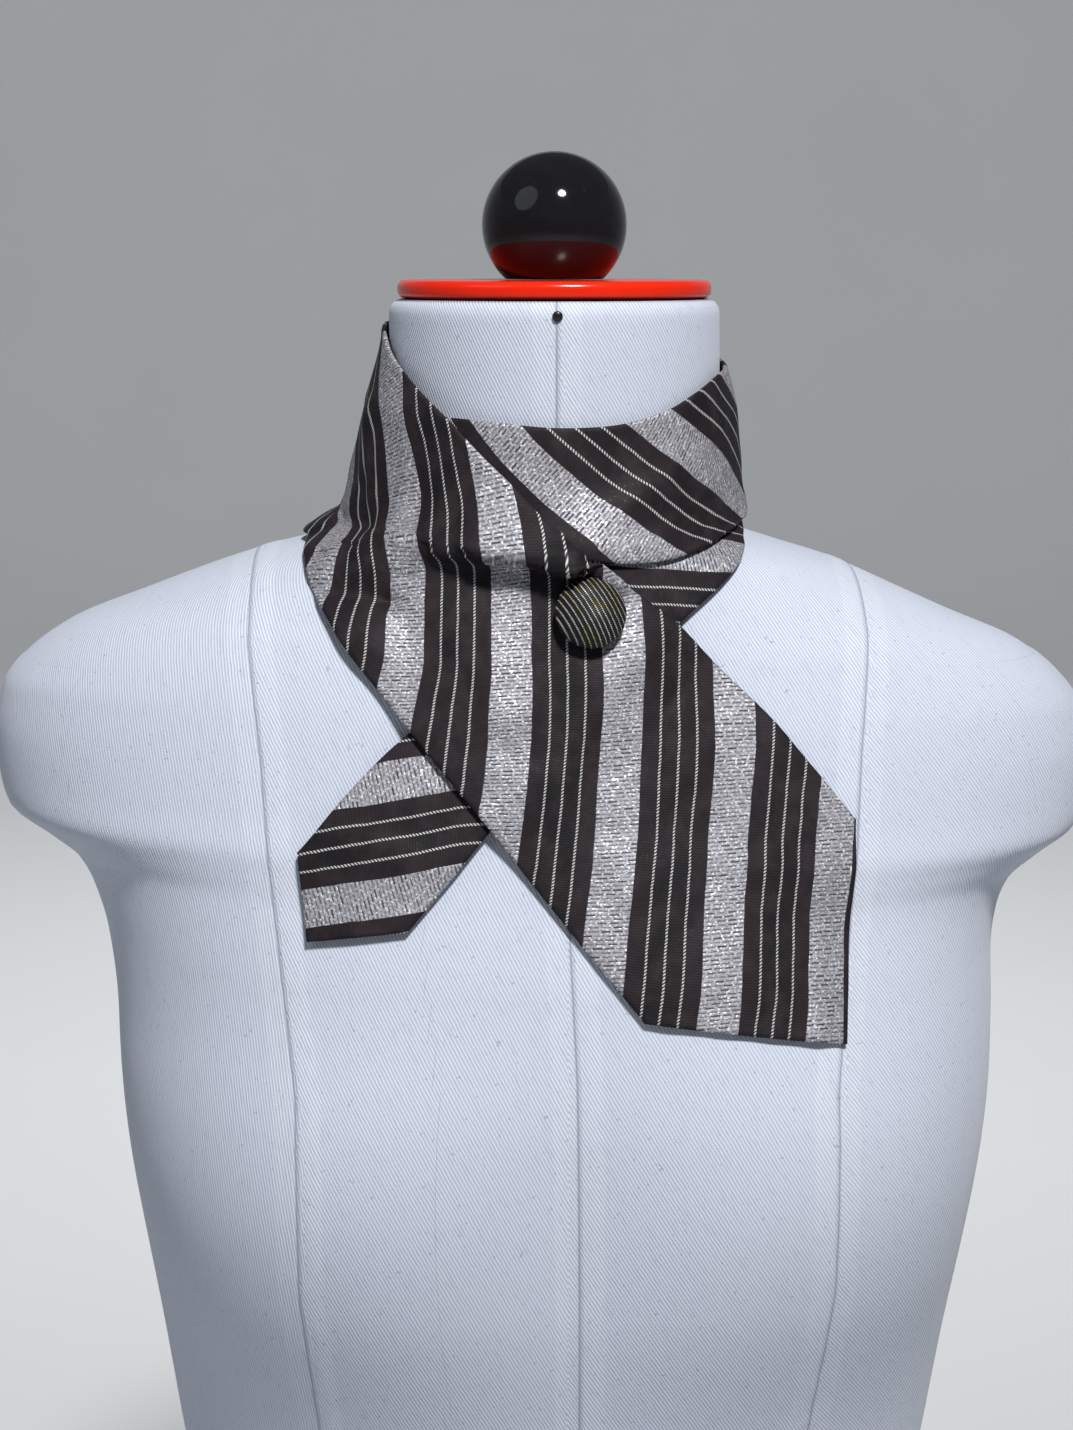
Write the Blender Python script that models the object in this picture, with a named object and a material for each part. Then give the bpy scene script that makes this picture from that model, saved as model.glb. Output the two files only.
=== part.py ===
"""A striped necktie wound twice round the neck of a dress form and closed with a covered button.

Sizes are in millimetres and are scaled to metres when a mesh is made. The form's front faces -Y.
A place on the form is given by its azimuth, from the front towards +X, and its drop below the
underside of the neck plate.
"""

import math

import bmesh
import bpy
import numpy as np
from mathutils import Vector
from mathutils.kdtree import KDTree

MM = 0.001
GAP = 0.3               # between pieces that touch

# Dress form
PLATE_HEIGHT = 655.0    # underside of the neck plate above the floor
BOARD_THICK = 15.0
BOARD_HALF_WIDTH, BOARD_HALF_DEPTH, BOARD_ROUND = 148.0, 93.0, 5.0
NECK_RADIUS = 56.0
BUST_AZIMUTH, BUST_DROP, BUST_HEIGHT = math.radians(37), 285.0, 20.0
BUST_SPREAD_ROUND, BUST_SPREAD_DOWN = math.radians(22), 46.0
SHOULDER_TILT, SHOULDER_SHIFT = 4.5, 3.0   # the viewer's left shoulder is higher and further out
FORM_SIDES = 56
PLATE_RADIUS, PLATE_THICK, PLATE_EDGE = 53.0, 6.0, 2.4
BALL_RADIUS, BALL_FOOT_RADIUS = 24.4, 16.5
PIN_RADIUS, PIN_PROUD = 1.7, 1.2
PIN_AZIMUTH, PIN_DROP = math.radians(-1.3), 4.6

# Cloth
WALL = 1.8              # a folded tie with its interlining
REST_GAP = 0.55         # from the form to the cloth
LAYER_GAP = 1.1         # from one layer to the next
COVER_NEAR, COVER_FAR = 4.5, 14.0   # how far past an edge the layer above stays up, and comes down
SEAM_ROWS = 4           # rows left out of a layer's cover beside the seam where the strip goes on
COLLAR_TOP, COLLAR_LEAN, COLLAR_BLEND = 14.0, 0.075, 12.0
LEAN_SWAY, BLEND_SWAY = 0.07, 4.0   # both are larger on the viewer's left
SHOULDER_DROP = 78.0    # where the neck meets the shoulders
POINT = 0.93            # height of a tip's point as a share of half the width
UNROLL_RADIUS = 75.0    # turns azimuth into millimetres where folds are laid out
SECTION_SAMPLES = 41
CLOTH_STEP = 6.6        # length of one grid cell along the cloth

# Button
BUTTON_RADIUS, BUTTON_RISE, BUTTON_RIM = 11.5, 6.0, 1.6
SHANK_RADIUS, SHANK_HEIGHT, SHANK_GAP = 4.0, 2.0, 0.75
BUTTON_AZIMUTH, BUTTON_DROP = math.radians(5.8), 99.5

# drop, half width, front depth, back depth, squareness of the section
FORM_ROWS = np.array((
    (0.0, 52.0, 53.0, 53.0, 2.0),
    (1.2, 54.6, 55.4, 55.4, 2.0),
    (4.0, 55.8, 57.0, 57.0, 2.0),
    (50.0, 56.2, 57.5, 58.0, 2.0),
    (64.0, 57.0, 58.6, 60.0, 2.0),
    (70.0, 58.5, 60.0, 62.0, 2.0),
    (74.0, 60.5, 61.0, 64.0, 2.0),
    (77.0, 65.0, 61.6, 65.0, 2.0),
    (80.0, 76.0, 62.2, 66.2, 2.0),
    (85.0, 96.0, 63.5, 68.5, 2.0),
    (102.5, 140.0, 70.0, 74.5, 2.0),
    (112.0, 163.0, 73.8, 78.5, 2.0),
    (123.5, 178.0, 78.2, 82.5, 2.0),
    (134.0, 185.5, 82.3, 85.0, 2.0),
    (150.0, 188.5, 88.0, 88.5, 2.0),
    (164.0, 187.5, 93.0, 91.0, 2.0),
    (174.0, 184.5, 96.5, 93.0, 2.05),
    (182.0, 173.0, 99.0, 94.5, 2.1),
    (190.0, 162.0, 101.5, 96.0, 2.15),
    (200.0, 156.0, 104.5, 97.5, 2.2),
    (215.0, 152.0, 108.0, 98.5, 2.25),
    (261.0, 148.5, 113.0, 97.0, 2.3),
    (315.0, 141.5, 112.0, 90.0, 2.3),
    (387.0, 133.0, 100.0, 80.0, 2.25),
    (430.0, 126.0, 93.0, 76.5, 2.2),
    (468.0, 123.0, 91.0, 77.0, 2.2),
    (520.0, 131.0, 94.0, 85.0, 2.2),
    (580.0, 148.0, 99.0, 97.0, 2.2),
    (628.0, 157.0, 101.0, 102.0, 2.2),
    (640.0, 154.0, 98.0, 99.0, 2.2),
))
RING_DROPS = np.concatenate((
    (0.0, 1.2, 4.0), np.linspace(24, 60, 3), np.linspace(66, 99, 12), np.linspace(105, 135, 6),
    np.linspace(144, 215, 9), np.linspace(237, 615, 15), (632.0, 640.0),
))

# Azimuth and drop of a stretch's top edge, then of its bottom edge. Rows run towards the tip.
WIDE_END_ROWS = (
    (-131, 8, -131, 75),
    (-110, 7.5, -115, 77.5),
    (-90, 9, -102, 79.5),
    (-72, 17, -88, 80),
    (-54, 26, -76, 80.5),
    (-37, 36.5, -64, 85),
    (-22, 50.5, -53, 97),
    (-8.5, 63.5, -44, 111),
    (3, 76.5, -36, 124),
    (15, 89.5, -28, 138.5),
    (28, 103, -19, 155),
    (35, 115.5, -11.5, 169),
    (41.5, 130.5, -4, 184.5),
    (45.5, 145, 3, 200),
    (50, 164.5, 12, 222),
    (58.5, 202.5, 21, 260),
)
OUTER_TURN_ROWS = (
    (-50, 36.5, -50, 72),
    (-24, 38, -24, 76),
    (0, 40, -2, 80.5),
    (19, 39, 14, 83.5),
    (36, 35, 30, 83.5),
    (50, 30, 45, 80.5),
    (66, 25, 62, 76.5),
    (90, 22, 88, 72),
    (112, 18, 111, 71),
    (135, 12, 135, 71.5),
    (180, 9, 180, 73),
    (228.5, 8, 228.5, 75),
)
INNER_TURN_ROWS = (
    (-50.5, 36.5, -50.5, 72),
    (-90, 34, -90, 70),
    (-135, 31, -135, 67),
    (-180, 29, -180, 66),
    (-239, 31, -239, 68),
)
NARROW_END_ROWS = (
    (120.5, 31.5, 120.5, 68.5),
    (103, 33, 105, 69.5),
    (85, 36, 88, 72.5),
    (67.5, 40.5, 72, 77),
    (50.5, 47, 59.5, 80.5),
    (35, 54.5, 50, 85),
    (20.5, 65, 37, 95),
    (8, 77, 26.5, 104.5),
    (-3, 89.5, 17.5, 114),
    (-12, 102.5, 9, 125.5),
    (-20, 115.5, 0.5, 138.5),
    (-27, 128.5, -7.5, 151.5),
    (-33.5, 140.5, -14.5, 165),
    (-38, 152.5, -19.5, 177.5),
    (-42.5, 169.5, -25, 192.5),
    (-48, 187, -30.5, 209.5),
)

# Azimuth and drop of a fold's two ends, its height, and its reach above and below that line
WIDE_END_FOLDS = (
    (-36, 75, 1, 77, 6.0, 14.0, 6.0),
    (-116, 77, -80, 77.3, 2.0, 3.5, 3.0),
)


def smoothstep(low, high, value):
    share = np.clip((value - low) / (high - low), 0, 1)
    return share * share * (3 - 2 * share)


def spline(knots, values, at, monotone=False):
    """Cubic through the values at the knots. A monotone one never bulges past its rows."""
    knots, values = np.asarray(knots, float), np.asarray(values, float)
    widths = np.diff(knots)[:, None]
    rises = np.diff(values, axis=0) / widths
    slopes = np.empty_like(values)
    slopes[0], slopes[-1] = rises[0], rises[-1]
    before, after = rises[:-1], rises[1:]
    if monotone:
        same = before * after > 0
        slopes[1:-1] = np.where(same, 2 * before * after / np.where(same, before + after, 1), 0)
    else:
        slopes[1:-1] = (before * widths[1:] + after * widths[:-1]) / (widths[1:] + widths[:-1])
    at = np.clip(at, knots[0], knots[-1])
    cell = np.clip(np.searchsorted(knots, at) - 1, 0, len(knots) - 2)
    width = widths[cell]
    t = ((at - knots[cell]) / width[..., 0])[..., None]
    start = (1 + 2 * t) * (1 - t) ** 2 * values[cell] + t * (1 - t) ** 2 * width * slopes[cell]
    end = t * t * (3 - 2 * t) * values[cell + 1] + t * t * (t - 1) * width * slopes[cell + 1]
    return start + end


def polar(azimuth, drop, radius):
    return np.stack(
        (radius * np.sin(azimuth), -radius * np.cos(azimuth), PLATE_HEIGHT - drop), axis=-1
    )


def form_radius(azimuth, drop):
    """Radius of the dress form: a rounded section for each drop, and the bust."""
    sideways = np.sin(azimuth)
    tilt = SHOULDER_TILT * smoothstep(68, 100, drop) * (1 - smoothstep(200, 300, drop))
    raised = drop - tilt * sideways
    columns = spline(FORM_ROWS[:, 0], FORM_ROWS[:, 1:], raised, monotone=True)
    half_width, front, back, square = np.moveaxis(columns, -1, 0)
    depth = np.where(np.cos(azimuth) > 0, front, back)
    side = np.abs(np.sin(azimuth) / half_width) ** square
    face = np.abs(np.cos(azimuth) / depth) ** square
    turned = (np.abs((azimuth + math.pi) % math.tau - math.pi) - BUST_AZIMUTH) / BUST_SPREAD_ROUND
    bust = BUST_HEIGHT * np.exp(-(turned**2 + ((drop - BUST_DROP) / BUST_SPREAD_DOWN) ** 2) / 2)
    shift = SHOULDER_SHIFT * smoothstep(90, 125, drop) * (1 - smoothstep(190, 240, drop))
    return (side + face) ** (-1 / square) + bust - shift * sideways


def rest_point(azimuth, drop):
    """The soft surface that the cloth rests on: the form, or a leaning collar round its neck."""
    form = form_radius(azimuth, drop)
    lean = COLLAR_LEAN - LEAN_SWAY * np.sin(azimuth)
    collar = NECK_RADIUS + lean * np.maximum(drop - COLLAR_TOP, 0)
    blend = COLLAR_BLEND - BLEND_SWAY * np.sin(azimuth)
    blend = blend * np.clip(drop / SHOULDER_DROP, 0.2, 1) ** 3
    return polar(azimuth, drop, (form + collar + np.sqrt((form - collar) ** 2 + blend**2)) / 2)


def rest_normal(azimuth, drop):
    small_turn, small_drop = 0.01, 0.6
    round_it = rest_point(azimuth + small_turn, drop) - rest_point(azimuth - small_turn, drop)
    down_it = rest_point(azimuth, drop + small_drop) - rest_point(azimuth, drop - small_drop)
    normal = np.cross(down_it, round_it)
    return normal / np.linalg.norm(normal, axis=-1, keepdims=True)


def fold_lift(azimuth, drop, folds):
    """How far soft ridges lift the cloth. The reach differs above and below a ridge."""
    lift = np.zeros_like(azimuth)
    across, down = azimuth * UNROLL_RADIUS, drop
    for start_turn, start_drop, end_turn, end_drop, height, above, below in folds:
        start = np.array((math.radians(start_turn) * UNROLL_RADIUS, start_drop))
        run = np.array((math.radians(end_turn) * UNROLL_RADIUS, end_drop)) - start
        share = ((across - start[0]) * run[0] + (down - start[1]) * run[1]) / (run @ run)
        share = np.clip(share, 0, 1)
        off_across = across - start[0] - share * run[0]
        off_down = down - start[1] - share * run[1]
        reach = np.where(off_down < 0, above, below)
        lift += height * np.exp(-(off_across**2 + off_down**2) / reach**2)
    return lift


def place_across(edges, share):
    """Azimuth and drop at a share of the real width of each section, from its top edge."""
    steps = np.linspace(0, 1, SECTION_SAMPLES)
    azimuth = edges[..., 0, None] + (edges[..., 2] - edges[..., 0])[..., None] * steps
    drop = edges[..., 1, None] + (edges[..., 3] - edges[..., 1])[..., None] * steps
    spans = np.linalg.norm(np.diff(rest_point(azimuth, drop), axis=-2), axis=-1)
    lengths = np.concatenate((np.zeros(spans.shape[:-1] + (1,)), np.cumsum(spans, axis=-1)), axis=-1)
    found = np.empty(share.shape)
    for index in np.ndindex(share.shape):
        found[index] = np.interp(share[index] * lengths[index][-1], lengths[index], steps)
    top, bottom = edges[..., :2], edges[..., 2:]
    placed = top + (bottom - top) * found[..., None]
    return placed[..., 0], placed[..., 1]


def stretch_places(rows, cells_across, pointed):
    """Grid of azimuths and drops over one stretch. A pointed one ends in a right-angled tip."""
    edges = np.array(rows, float)
    edges[:, ::2] = np.radians(edges[:, ::2])
    top, bottom = rest_point(*edges[:, :2].T), rest_point(*edges[:, 2:].T)
    middle = rest_point(*(edges[:, :2] + edges[:, 2:]).T / 2)
    knots = np.concatenate(((0,), np.cumsum(np.linalg.norm(np.diff(middle, axis=0), axis=1))))
    length = knots[-1]
    half_width = np.linalg.norm(top[-1] - bottom[-1]) / 2
    along = np.linspace(0, length, round(length / CLOTH_STEP) + 1)
    share = np.linspace(0, 1, cells_across + 1)
    along, share = np.meshgrid(along, share, indexing="ij")
    if pointed:
        still = np.clip(1 - (length - along) / (2 * half_width), 0, 1)
        along = along - still * POINT * half_width * np.abs(2 * share - 1)
    return place_across(spline(knots, edges, along), share)


def lay_stretch(rows, cells_across, pointed, folds, under):
    """Points of the inner face of one stretch, and its lift over the rest surface."""
    azimuth, drop = stretch_places(rows, cells_across, pointed)
    resting = rest_point(azimuth, drop)
    lift = np.full(azimuth.shape, REST_GAP)
    for tree, lower_lift in under:
        for index in np.ndindex(azimuth.shape):
            _, nearest, distance = tree.find(resting[index])
            cover = 1 - smoothstep(COVER_NEAR, COVER_FAR, distance)
            on_top = REST_GAP + cover * (lower_lift[nearest] - REST_GAP + WALL + LAYER_GAP)
            lift[index] = max(lift[index], on_top)
    lift += fold_lift(azimuth, drop, folds)
    return resting, resting + rest_normal(azimuth, drop) * lift[..., None], lift


def as_layer(resting, lift):
    """What a layer above needs to know of this one."""
    points = resting.reshape(-1, 3)
    tree = KDTree(len(points))
    for index, point in enumerate(points):
        tree.insert(point, index)
    tree.balance()
    return tree, lift.reshape(-1)


def finish(name, colour, roughness, metallic=0.0):
    material = bpy.data.materials.new(name)
    material.use_nodes = True
    shader = material.node_tree.nodes["Principled BSDF"]
    shader.inputs["Base Color"].default_value = (*colour, 1)
    shader.inputs["Roughness"].default_value = roughness
    shader.inputs["Metallic"].default_value = metallic
    return material


def add_object(name, mesh_maker, material):
    mesh = bpy.data.meshes.new(name)
    mesh_maker.to_mesh(mesh)
    mesh_maker.free()
    mesh.materials.append(material)
    mesh.shade_smooth()
    mesh.set_sharp_from_angle(angle=math.radians(40))
    piece = bpy.data.objects.new(name, mesh)
    bpy.context.scene.collection.objects.link(piece)
    return piece


def grid_mesh(points, closed_round=False):
    """Quads over a grid of points, with flat caps on both ends where it closes round."""
    maker = bmesh.new()
    grid = [[maker.verts.new(Vector(point) * MM) for point in row] for row in points]
    columns = len(grid[0])
    for upper, lower in zip(grid, grid[1:]):
        for column in range(columns if closed_round else columns - 1):
            following = (column + 1) % columns
            maker.faces.new((upper[column], lower[column], lower[following], upper[following]))
    if closed_round:
        maker.faces.new(grid[0])
        maker.faces.new(list(reversed(grid[-1])))
    bmesh.ops.recalc_face_normals(maker, faces=maker.faces)
    return maker


def turned_mesh(profile, sides):
    """A solid turned round Z from radius and height pairs that start and end on the axis."""
    maker = bmesh.new()
    points = [maker.verts.new((radius * MM, 0, height * MM)) for radius, height in profile]
    edges = [maker.edges.new(pair) for pair in zip(points, points[1:])]
    bmesh.ops.spin(
        maker, geom=points + edges, cent=(0, 0, 0), axis=(0, 0, 1), angle=math.tau,
        steps=sides, use_merge=True, use_duplicate=False,
    )
    bmesh.ops.remove_doubles(maker, verts=maker.verts, dist=0.01 * MM)
    bmesh.ops.recalc_face_normals(maker, faces=maker.faces)
    return maker


def arc(centre_radius, centre_height, radius, start, end, steps):
    """Radius and height pairs along an arc. Angles are in degrees up from the outward side."""
    angles = np.radians(np.linspace(start, end, steps + 1))
    return [
        (centre_radius + radius * math.cos(a), centre_height + radius * math.sin(a)) for a in angles
    ]


def add_form_torso():
    azimuth = np.linspace(0, math.tau, FORM_SIDES, endpoint=False)
    drop, azimuth = np.meshgrid(RING_DROPS, azimuth, indexing="ij")
    rings = polar(azimuth, drop, form_radius(azimuth, drop))
    rings[-1, :, 2] = BOARD_THICK + GAP
    cover = finish("cover cloth", (0.8, 0.82, 0.86), 0.85)
    return add_object("form_torso", grid_mesh(rings, True), cover)


def add_base_board():
    """A flat board with rounded ends, a little inside the form's lower edge."""
    angles = np.linspace(0, math.tau, 48, endpoint=False)
    rings = [
        [
            (
                (BOARD_HALF_WIDTH - inset) * math.sin(a),
                -(BOARD_HALF_DEPTH - inset) * math.cos(a),
                height,
            )
            for a in angles
        ]
        for inset, height in (
            (BOARD_ROUND * 0.4, BOARD_THICK),
            (0, BOARD_THICK - BOARD_ROUND * 0.4),
            (0, BOARD_ROUND * 0.4),
            (BOARD_ROUND * 0.4, 0),
        )
    ]
    return add_object("base_board", grid_mesh(rings, True), finish("board", (0.45, 0.3, 0.18), 0.6))


def add_neck_plate():
    low = PLATE_HEIGHT + GAP
    bend = PLATE_EDGE
    inner = PLATE_RADIUS - bend
    profile = [(0, low)]
    profile += arc(inner, low + bend, bend, -90, 0, 4)
    profile += arc(inner, low + PLATE_THICK - bend, bend, 0, 90, 4)
    profile += [(0, low + PLATE_THICK)]
    lacquer = finish("red lacquer", (0.75, 0.05, 0.015), 0.3)
    return add_object("neck_plate", turned_mesh(profile, 40), lacquer)


def add_ball_finial():
    low = PLATE_HEIGHT + GAP + PLATE_THICK + GAP
    rise = math.sqrt(BALL_RADIUS**2 - BALL_FOOT_RADIUS**2)
    start = -math.degrees(math.atan2(rise, BALL_FOOT_RADIUS))
    profile = [(0, low)] + arc(0, low + rise, BALL_RADIUS, start, 90, 12)
    profile[-1] = (0, profile[-1][1])
    lacquer = finish("black lacquer", (0.01, 0.01, 0.012), 0.12)
    return add_object("ball_finial", turned_mesh(profile, 28), lacquer)


def add_front_pin():
    """A short round-headed pin at the front of the neck."""
    profile = [(0, 0), (PIN_RADIUS, 0)]
    profile += [(PIN_RADIUS, PIN_PROUD * 0.4), (PIN_RADIUS * 0.7, PIN_PROUD * 0.85), (0, PIN_PROUD)]
    pin = add_object("front_pin", turned_mesh(profile, 16), finish("pin black", (0.01, 0.01, 0.01), 0.35))
    azimuth, drop = np.array(PIN_AZIMUTH), np.array(PIN_DROP)
    pin.location = Vector(polar(azimuth, drop, form_radius(azimuth, drop) + GAP)) * MM
    pin.rotation_euler = (math.radians(90), 0, PIN_AZIMUTH)
    return pin


def add_cloth(name, points, material):
    """A wall of even thickness, raised outwards from the inner face."""
    piece = add_object(name, grid_mesh(points), material)
    centre = piece.data.polygons[len(piece.data.polygons) // 2]
    if centre.normal.xy.dot(centre.center.xy) < 0:
        piece.data.flip_normals()
    wall = piece.modifiers.new("wall", "SOLIDIFY")
    wall.thickness = WALL * MM
    wall.offset = 1
    wall.use_even_offset = True
    return piece


def add_scarf():
    striped = finish("striped tie cloth", (0.12, 0.11, 0.12), 0.5)
    inner_rest, inner_face, inner_lift = lay_stretch(INNER_TURN_ROWS, 5, False, (), ())
    tail_rest, tail_face, tail_lift = lay_stretch(NARROW_END_ROWS, 6, True, (), ())
    tail = as_layer(tail_rest, tail_lift)
    past_seam = as_layer(inner_rest[SEAM_ROWS:], inner_lift[SEAM_ROWS:])
    outer_rest, outer_face, outer_lift = lay_stretch(OUTER_TURN_ROWS, 8, False, (), (past_seam, tail))
    outer = as_layer(outer_rest[:-SEAM_ROWS], outer_lift[:-SEAM_ROWS])
    inner = as_layer(inner_rest, inner_lift)
    _, wide_face, _ = lay_stretch(WIDE_END_ROWS, 12, True, WIDE_END_FOLDS, (inner, tail, outer))
    add_cloth("inner_turn", inner_face, striped)
    add_cloth("narrow_end", tail_face, striped)
    add_cloth("outer_turn", outer_face, striped)
    add_cloth("wide_end", wide_face, striped)
    return wide_face


def add_button(cloth_face):
    """A cloth-covered dome on its shank, square to the cloth it is sewn to."""
    azimuth, drop = np.array(BUTTON_AZIMUTH), np.array(BUTTON_DROP)
    outward = rest_normal(azimuth, drop)
    foot = rest_point(azimuth, drop)
    offsets = (cloth_face - foot) @ outward
    aside = np.linalg.norm(cloth_face - foot - offsets[..., None] * outward, axis=-1)
    height = offsets[aside < SHANK_RADIUS + CLOTH_STEP].max() + WALL + SHANK_GAP
    dome = (BUTTON_RADIUS**2 + BUTTON_RISE**2) / (2 * BUTTON_RISE)
    start = math.degrees(math.asin((dome - BUTTON_RISE) / dome))
    rim = SHANK_HEIGHT + BUTTON_RIM
    profile = [(0, 0), (SHANK_RADIUS, 0), (SHANK_RADIUS, SHANK_HEIGHT)]
    profile += [(BUTTON_RADIUS - 1, SHANK_HEIGHT), (BUTTON_RADIUS, SHANK_HEIGHT + BUTTON_RIM / 2)]
    profile += arc(0, rim - (dome - BUTTON_RISE), dome, start, 90, 6)
    profile[-1] = (0, profile[-1][1])
    button = add_object("button", turned_mesh(profile, 28), finish("button cloth", (0.05, 0.05, 0.05), 0.4))
    button.location = Vector(foot + height * outward) * MM
    button.rotation_euler = Vector(outward).to_track_quat("Z", "Y").to_euler()
    return button


for leftover in list(bpy.data.objects):
    bpy.data.objects.remove(leftover)
add_form_torso()
add_base_board()
add_neck_plate()
add_ball_finial()
add_front_pin()
add_button(add_scarf())
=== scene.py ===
"""A striped necktie worn as a scarf on a small dress form, wound twice and closed with a covered button."""

import math

import bmesh
import bpy
import numpy as np
from mathutils import Matrix, Vector
from mathutils.kdtree import KDTree


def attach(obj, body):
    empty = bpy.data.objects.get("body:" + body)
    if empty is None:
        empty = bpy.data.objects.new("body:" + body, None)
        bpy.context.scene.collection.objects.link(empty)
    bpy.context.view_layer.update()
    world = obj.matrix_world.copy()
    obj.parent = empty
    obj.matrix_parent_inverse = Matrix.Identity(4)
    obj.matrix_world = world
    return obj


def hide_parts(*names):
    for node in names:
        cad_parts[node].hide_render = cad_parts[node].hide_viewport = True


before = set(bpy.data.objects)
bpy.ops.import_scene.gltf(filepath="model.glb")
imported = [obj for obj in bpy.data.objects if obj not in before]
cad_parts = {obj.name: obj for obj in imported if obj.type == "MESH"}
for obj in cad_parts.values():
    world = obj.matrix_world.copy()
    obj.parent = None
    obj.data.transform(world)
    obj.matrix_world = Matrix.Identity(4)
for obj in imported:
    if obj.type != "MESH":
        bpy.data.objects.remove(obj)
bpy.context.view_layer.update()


# Base board
# A flat board that closes the form underneath, guessed because the photo ends above it. Birch
# plywood with its long edges rounded by hand, glued and screwed up into the form from below.
MM = 0.001


def arithmetic(operation, swapped=False):
    def method(self, other):
        return self.maths(operation, *((other, self) if swapped else (self, other)))

    return method


class Wire:
    """One shader output. Arithmetic on it adds Math nodes."""

    def __init__(self, finish, socket):
        self.finish, self.socket = finish, socket

    def maths(self, operation, *values):
        return self.finish.node("ShaderNodeMath", {"operation": operation}, dict(enumerate(values)))

    __add__, __radd__ = arithmetic("ADD"), arithmetic("ADD", True)
    __sub__, __rsub__ = arithmetic("SUBTRACT"), arithmetic("SUBTRACT", True)
    __mul__, __rmul__ = arithmetic("MULTIPLY"), arithmetic("MULTIPLY", True)
    __truediv__ = arithmetic("DIVIDE")

    def wrapped(self, period):
        """The remainder, from 0 up to the period, of values on either side of 0."""
        return self.maths("WRAP", self, period, 0.0)

    def floor(self):
        return self.maths("FLOOR", self)

    def size(self):
        return self.maths("ABSOLUTE", self)

    def sine(self):
        return self.maths("SINE", self)

    def ramp(self, low, high, start=0.0, end=1.0):
        """A soft step from start to end while this value goes from low to high."""
        settings = {"interpolation_type": "SMOOTHSTEP"}
        return self.finish.node("ShaderNodeMapRange", settings, {0: self, 1: low, 2: high, 3: start, 4: end})

    def within(self, half, soft):
        """1 where this value is nearer to 0 than half, fading over soft."""
        return self.size().ramp(half - soft / 2, half + soft / 2, 1.0, 0.0)


class Finish:
    """A material under construction round one Principled shader."""

    def __init__(self, name, constants=None):
        self.material = bpy.data.materials.new(name)
        self.material.use_nodes = True
        self.tree = self.material.node_tree
        self.shader = self.tree.nodes["Principled BSDF"]
        for socket, value in (constants or {}).items():
            self.shader.inputs[socket].default_value = value

    def node(self, kind, settings, sockets, output=0):
        made = self.tree.nodes.new(kind)
        for key, value in settings.items():
            setattr(made, key, value)
        for key, value in sockets.items():
            if isinstance(value, Wire):
                self.tree.links.new(value.socket, made.inputs[key])
            else:
                made.inputs[key].default_value = value
        return Wire(self, made.outputs[output])

    def attribute(self, name):
        return self.node("ShaderNodeAttribute", {"attribute_name": name}, {}, "Fac")

    def place(self):
        return self.node("ShaderNodeTexCoord", {}, {}, "Object")

    def scaled(self, vector, sizes):
        return self.node("ShaderNodeVectorMath", {"operation": "MULTIPLY"}, {0: vector, 1: sizes})

    def split(self, vector):
        parts = self.node("ShaderNodeSeparateXYZ", {}, {0: vector})
        return [Wire(self, output) for output in parts.socket.node.outputs]

    def noise(self, vector, scale, detail=2.0, rough=0.5):
        return self.node(
            "ShaderNodeTexNoise", {}, {"Vector": vector, "Scale": scale, "Detail": detail, "Roughness": rough}
        )

    def chance(self, x, y):
        """A random number for each whole pair of numbers."""
        pair = self.node("ShaderNodeCombineXYZ", {}, {0: x, 1: y})
        return self.node("ShaderNodeTexWhiteNoise", {"noise_dimensions": "2D"}, {"Vector": pair}, "Value")

    def mix(self, share, first, second):
        sockets = {0: share, 6: first, 7: second}
        for key in (6, 7):
            if not isinstance(sockets[key], Wire):
                sockets[key] = (*sockets[key], 1.0)
        return self.node("ShaderNodeMix", {"data_type": "RGBA"}, sockets, 2)

    def bump(self, height, distance, strength):
        sockets = {"Height": height, "Distance": distance, "Strength": strength}
        return self.node("ShaderNodeBump", {}, sockets)

    def feed(self, **wires):
        for name, wire in wires.items():
            self.tree.links.new(wire.socket, self.shader.inputs[name.replace("_", " ")])
        return self.material


def give_finish(piece, material):
    piece.data.materials.clear()
    piece.data.materials.append(material)


def birch_finish():
    wood = Finish("birch board", {"Specular IOR Level": 0.35})
    place = wood.place()
    rings = wood.noise(wood.scaled(place, (2.0, 26.0, 60.0)), 6.0, 4.0, 0.6)
    fibres = wood.noise(wood.scaled(place, (6.0, 240.0, 240.0)), 8.0, 3.0, 0.6)
    plies = wood.split(place)[2].wrapped(3 * MM).ramp(1.3 * MM, 1.7 * MM)
    colour = wood.mix(rings, (0.52, 0.36, 0.2), (0.7, 0.53, 0.33))
    colour = wood.mix(fibres * 0.35, colour, (0.34, 0.21, 0.11))
    colour = wood.mix(plies * 0.25, colour, (0.4, 0.26, 0.14))
    return wood.feed(
        Base_Color=colour, Roughness=0.55 + fibres * 0.25, Normal=wood.bump(fibres + rings, 0.3 * MM, 0.5)
    )


give_finish(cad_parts["base_board"], birch_finish())


# Torso of the form
# A limbless padded shell under a tight cover of bluish white cotton twill. The cover is cut in
# panels and sewn inside out, so the seams show as thin grooves beside the pressed allowances.
# The grooves carry painted shade and the allowances a painted highlight in the cover's colour.
GAP = 0.3
PLATE_HEIGHT, BOARD_THICK, NECK_RADIUS = 655.0, 15.0, 56.0
BUST_AZIMUTH, BUST_DROP, BUST_HEIGHT = math.radians(37), 285.0, 20.0
BUST_SPREAD_ROUND, BUST_SPREAD_DOWN = math.radians(22), 46.0
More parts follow.
